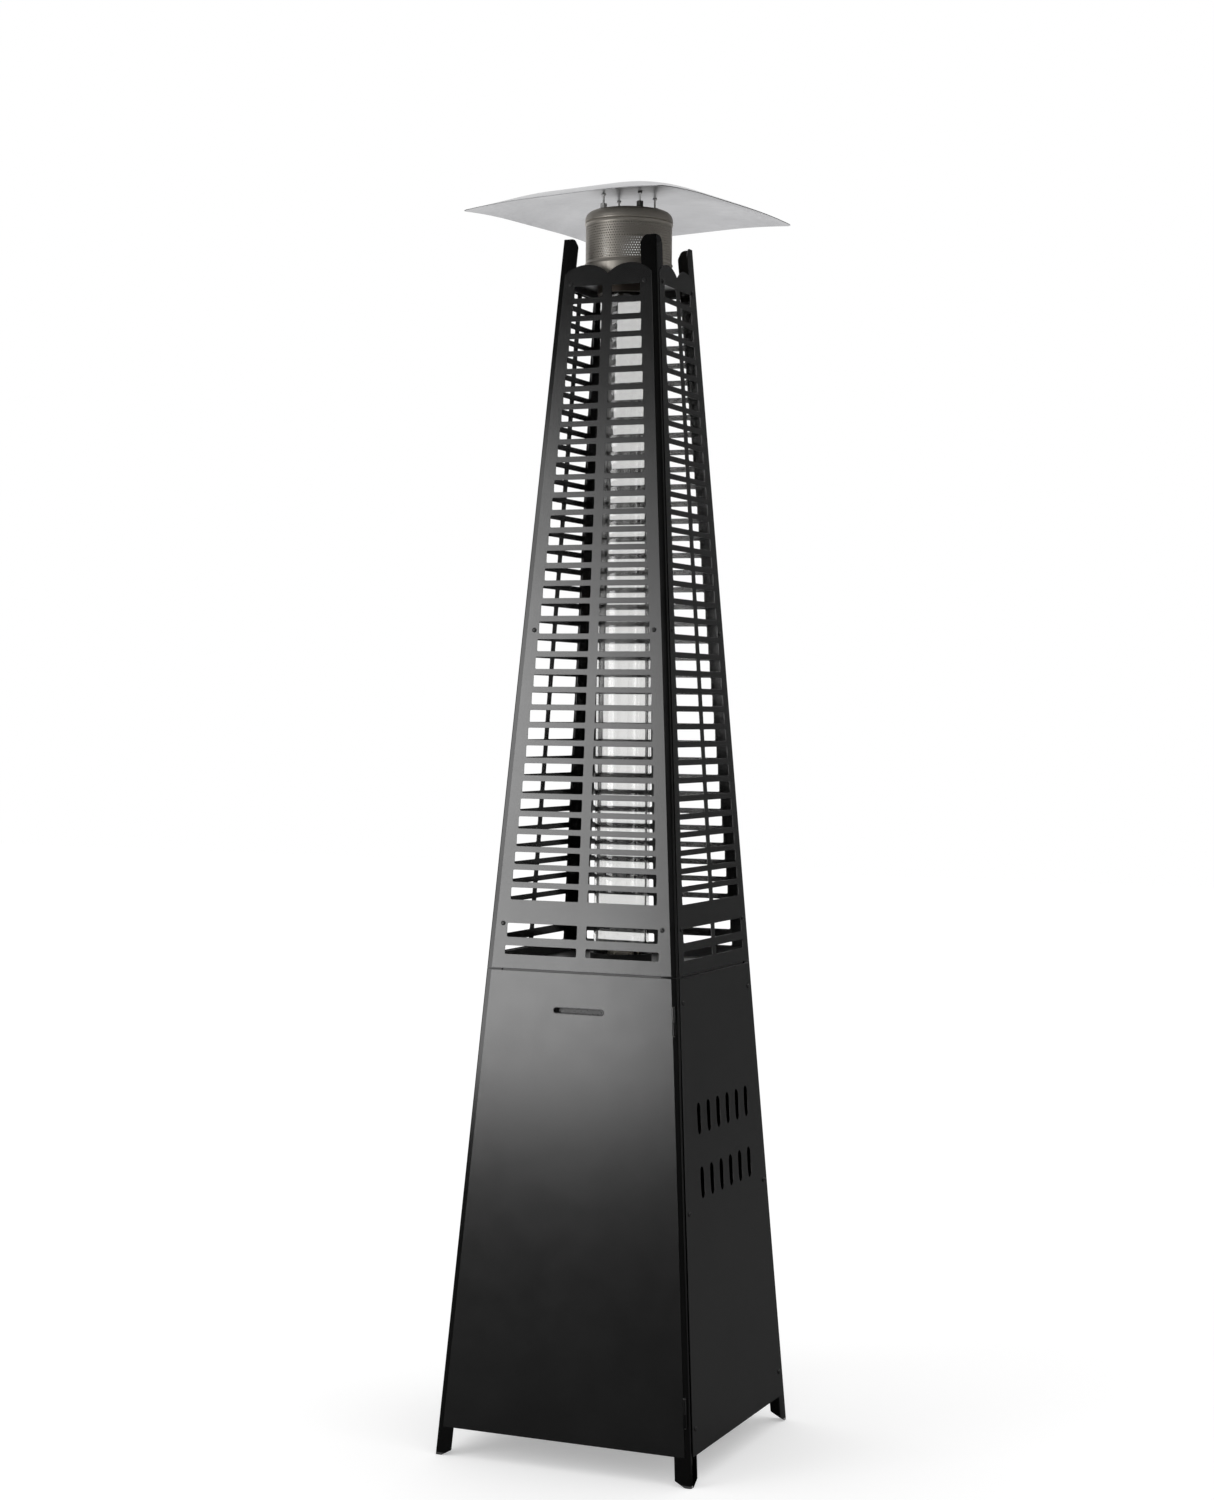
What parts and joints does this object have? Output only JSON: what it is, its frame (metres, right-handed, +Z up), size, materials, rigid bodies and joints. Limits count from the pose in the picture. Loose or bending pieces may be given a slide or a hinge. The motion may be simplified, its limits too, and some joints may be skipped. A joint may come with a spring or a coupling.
{
  "type": "pyramid patio heater",
  "caption": "Tall four-sided tapering gas patio heater: slotted guards round a glass flame tube, a cabinet with a hinged door below and a square reflector on top.",
  "frame": {"origin": "on the floor under the middle of the four posts", "axes": "+Z up; the cabinet door faces -Y and the control knob +Y; +X is to the right seen from the door side"},
  "size_m": [0.507, 0.507, 2.2634],
  "materials": {
    "post_black": "gloss black powder coat, slightly glossier than the panels",
    "panel_black": "satin black powder coat with a fine texture",
    "inner_black": "matt black powder coat",
    "screen_stainless": "perforated stainless steel, slightly heat-tinted brown",
    "burner_stainless": "stainless steel",
    "reflector_aluminium": "bright rolled aluminium, slightly mottled",
    "brass": "machined brass",
    "copper_pipe": "drawn copper pipe",
    "quartz_glass": "clear heat-proof glass",
    "seal_rubber": "matt black silicone",
    "black_plastic": "moulded black plastic",
    "ceramic": "glazed off-white ceramic",
    "zinc_steel": "bright zinc-plated steel"
  },
  "bodies": {
    "frame": {"bottom_shelf": "inner_black", "burner_cup": "burner_stainless", "burner_deck": "inner_black", "burner_head": "burner_stainless", "burner_plate": "zinc_steel", "control_plate": "panel_black", "door_catch": "black_plastic", "door_hinge_lower": "panel_black", "door_hinge_pin_lower": "zinc_steel", "door_hinge_pin_upper": "zinc_steel", "door_hinge_upper": "panel_black", "flame_screen": "screen_stainless", "gas_inlet": "brass", "gas_jet": "brass", "gas_valve": "brass", "glass_tube": "quartz_glass", "guard_front": "panel_black", "guard_left": "panel_black", "guard_rear": "panel_black", "guard_right": "panel_black", "igniter_body": "black_plastic", "igniter_lead": "seal_rubber", "ignition_electrode": "ceramic", "left_panel": "panel_black", "lower_post_front_left": "post_black", "lower_post_front_right": "post_black", "lower_post_rear_left": "post_black", "lower_post_rear_right": "post_black", "mixing_tube": "zinc_steel", "pilot_burner": "brass", "pilot_pipe": "copper_pipe", "rear_panel": "panel_black", "reflector": "reflector_aluminium", "reflector_stud_1": "zinc_steel", "reflector_stud_2": "zinc_steel", "reflector_stud_3": "zinc_steel", "reflector_stud_4": "zinc_steel", "right_panel": "panel_black", "screen_cap": "screen_stainless", "supply_pipe": "copper_pipe", "thermocouple": "burner_stainless", "thermocouple_lead": "copper_pipe", "tilt_switch": "black_plastic", "top_plate": "inner_black", "tube_collar": "zinc_steel", "tube_seat": "seal_rubber", "upper_post_front_left": "post_black", "upper_post_front_right": "post_black", "upper_post_rear_left": "post_black", "upper_post_rear_right": "post_black", "wing_nut_1": "zinc_steel", "wing_nut_2": "zinc_steel", "wing_nut_3": "zinc_steel", "wing_nut_4": "zinc_steel"},
    "door": {"door": "panel_black", "door_pull_cup": "black_plastic"},
    "spindle": {"valve_spindle": "zinc_steel"},
    "knob": {"control_knob": "black_plastic"},
    "igniter_push": {"igniter_button": "black_plastic"}
  },
  "joints": [
    {"name": "door_swing", "type": "hinge", "parent": "frame", "child": "door", "pos_m": [0.1809, -0.19089, 0.78525], "axis": [-0.0711, 0.0711, 0.9949], "range_deg": [0, 110]},
    {"name": "knob_turn", "type": "hinge", "parent": "frame", "child": "spindle", "pos_m": [0.03, 0.18812, 0.775], "axis": [0, 0.9975, 0.0713], "range_deg": [0, 180]},
    {"name": "knob_push", "type": "slide", "parent": "spindle", "child": "knob", "axis": [0, -0.9975, -0.0713], "range_m": [0, 0.003], "stiffness_N_per_m": 1500},
    {"name": "igniter_press", "type": "slide", "parent": "frame", "child": "igniter_push", "axis": [0, -0.9975, -0.0713], "range_m": [0, 0.004], "stiffness_N_per_m": 800}
  ]
}
